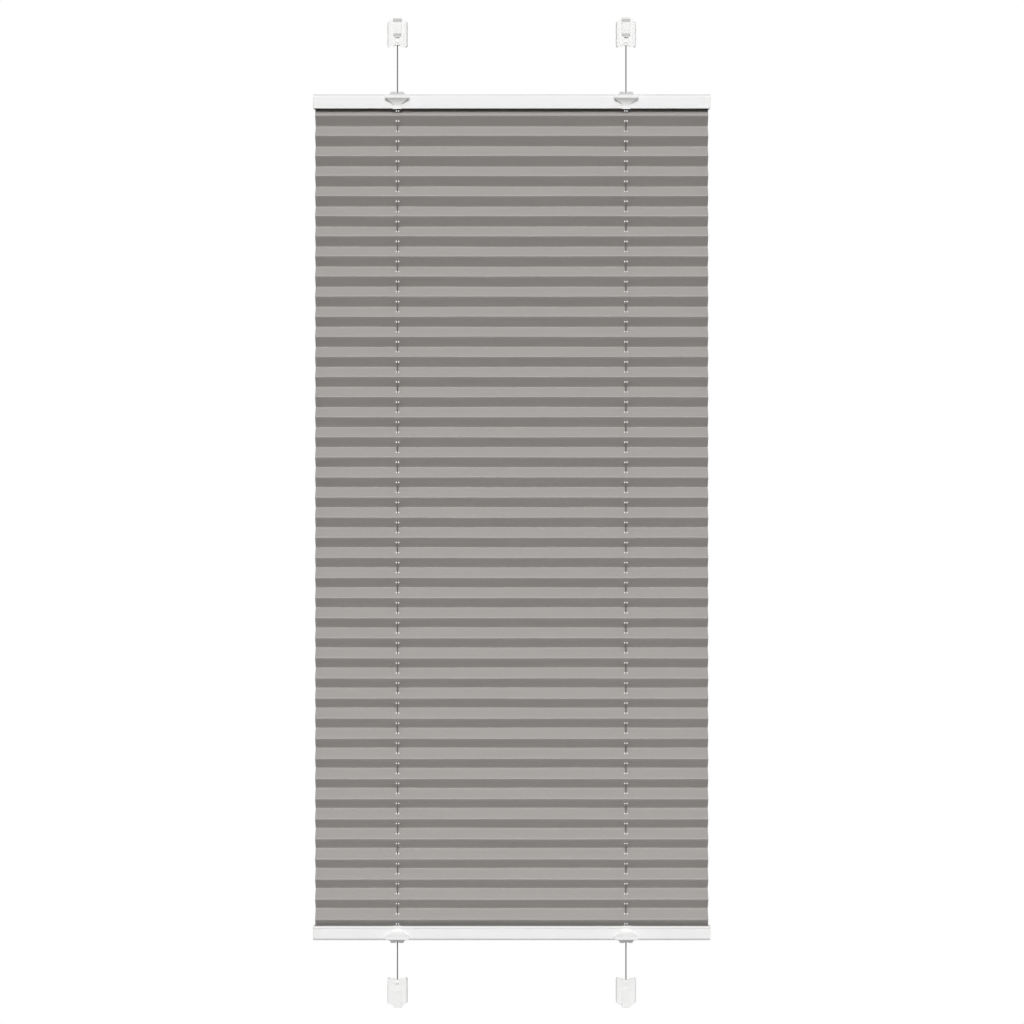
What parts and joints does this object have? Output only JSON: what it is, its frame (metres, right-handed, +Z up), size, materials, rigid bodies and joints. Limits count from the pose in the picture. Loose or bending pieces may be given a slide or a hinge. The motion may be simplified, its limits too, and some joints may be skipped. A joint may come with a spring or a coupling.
{
  "type": "pleated blind",
  "caption": "Pleated blind with two free-moving rails on taut cords, held to a window sash by clamp brackets, with pull grips on both rails.",
  "frame": {"origin": "centre of the blind, on the room-side face of the window sash", "axes": "+X to the right seen from the room, +Y out through the window, +Z up"},
  "size_m": [0.4, 0.0522, 0.9972],
  "materials": {
    "pleated_cloth": "matt woven polyester, warm grey",
    "white_rail": "white powder coat, satin",
    "white_plastic": "moulded, satin",
    "inner_plastic": "moulded, plain",
    "white_sheet_metal": "white paint, satin",
    "plated_steel": "zinc plated",
    "clear_plastic": "moulded, milky",
    "pad_rubber": "matt",
    "cord": "braided polyester, charcoal grey"
  },
  "bodies": {
    "mounting_and_cords": {"clamp_bracket_bottom_left": "white_sheet_metal", "clamp_bracket_bottom_right": "white_sheet_metal", "clamp_bracket_top_left": "white_sheet_metal", "clamp_bracket_top_right": "white_sheet_metal", "cord_run_left": "cord", "cord_run_right": "cord", "cord_stop_bottom_left": "clear_plastic", "cord_stop_bottom_right": "clear_plastic", "cord_stop_top_left": "clear_plastic", "cord_stop_top_right": "clear_plastic", "pleated_fabric": "pleated_cloth", "tension_shoe_bottom_left": "white_plastic", "tension_shoe_bottom_right": "white_plastic", "tension_shoe_top_left": "white_plastic", "tension_shoe_top_right": "white_plastic"},
    "top_rail": {"top_clip_strip": "inner_plastic", "top_cord_guide_left": "inner_plastic", "top_cord_guide_right": "inner_plastic", "top_crossing_cord_back": "cord", "top_crossing_cord_front": "cord", "top_end_cap_left": "white_plastic", "top_end_cap_right": "white_plastic", "top_grip_left": "white_plastic", "top_grip_right": "white_plastic", "top_rail": "white_rail"},
    "bottom_rail": {"bottom_clip_strip": "inner_plastic", "bottom_cord_guide_left": "inner_plastic", "bottom_cord_guide_right": "inner_plastic", "bottom_crossing_cord_back": "cord", "bottom_crossing_cord_front": "cord", "bottom_end_cap_left": "white_plastic", "bottom_end_cap_right": "white_plastic", "bottom_grip_left": "white_plastic", "bottom_grip_right": "white_plastic", "bottom_rail": "white_rail"},
    "jaw_top_left": {"clamp_jaw_top_left": "white_sheet_metal", "clamp_screw_top_left": "plated_steel", "clamp_nut_top_left": "plated_steel", "jaw_pad_top_left": "pad_rubber"},
    "jaw_top_right": {"clamp_jaw_top_right": "white_sheet_metal", "clamp_screw_top_right": "plated_steel", "clamp_nut_top_right": "plated_steel", "jaw_pad_top_right": "pad_rubber"},
    "jaw_bottom_left": {"clamp_jaw_bottom_left": "white_sheet_metal", "clamp_screw_bottom_left": "plated_steel", "clamp_nut_bottom_left": "plated_steel", "jaw_pad_bottom_left": "pad_rubber"},
    "jaw_bottom_right": {"clamp_jaw_bottom_right": "white_sheet_metal", "clamp_screw_bottom_right": "plated_steel", "clamp_nut_bottom_right": "plated_steel", "jaw_pad_bottom_right": "pad_rubber"}
  },
  "joints": [
    {"name": "top_rail_slide", "type": "slide", "parent": "mounting_and_cords", "child": "top_rail", "axis": [0, 0, -1], "range_m": [0, 0.385], "deforming": ["pleated_fabric"]},
    {"name": "bottom_rail_slide", "type": "slide", "parent": "mounting_and_cords", "child": "bottom_rail", "axis": [0, 0, 1], "range_m": [0, 0.385], "deforming": ["pleated_fabric"]},
    {"name": "jaw_slide_top_left", "type": "slide", "parent": "mounting_and_cords", "child": "jaw_top_left", "axis": [0, 1, 0], "range_m": [-0.0075, 0.003]},
    {"name": "jaw_slide_top_right", "type": "slide", "parent": "mounting_and_cords", "child": "jaw_top_right", "axis": [0, 1, 0], "range_m": [-0.0075, 0.003]},
    {"name": "jaw_slide_bottom_left", "type": "slide", "parent": "mounting_and_cords", "child": "jaw_bottom_left", "axis": [0, 1, 0], "range_m": [-0.0075, 0.003]},
    {"name": "jaw_slide_bottom_right", "type": "slide", "parent": "mounting_and_cords", "child": "jaw_bottom_right", "axis": [0, 1, 0], "range_m": [-0.0075, 0.003]}
  ]
}
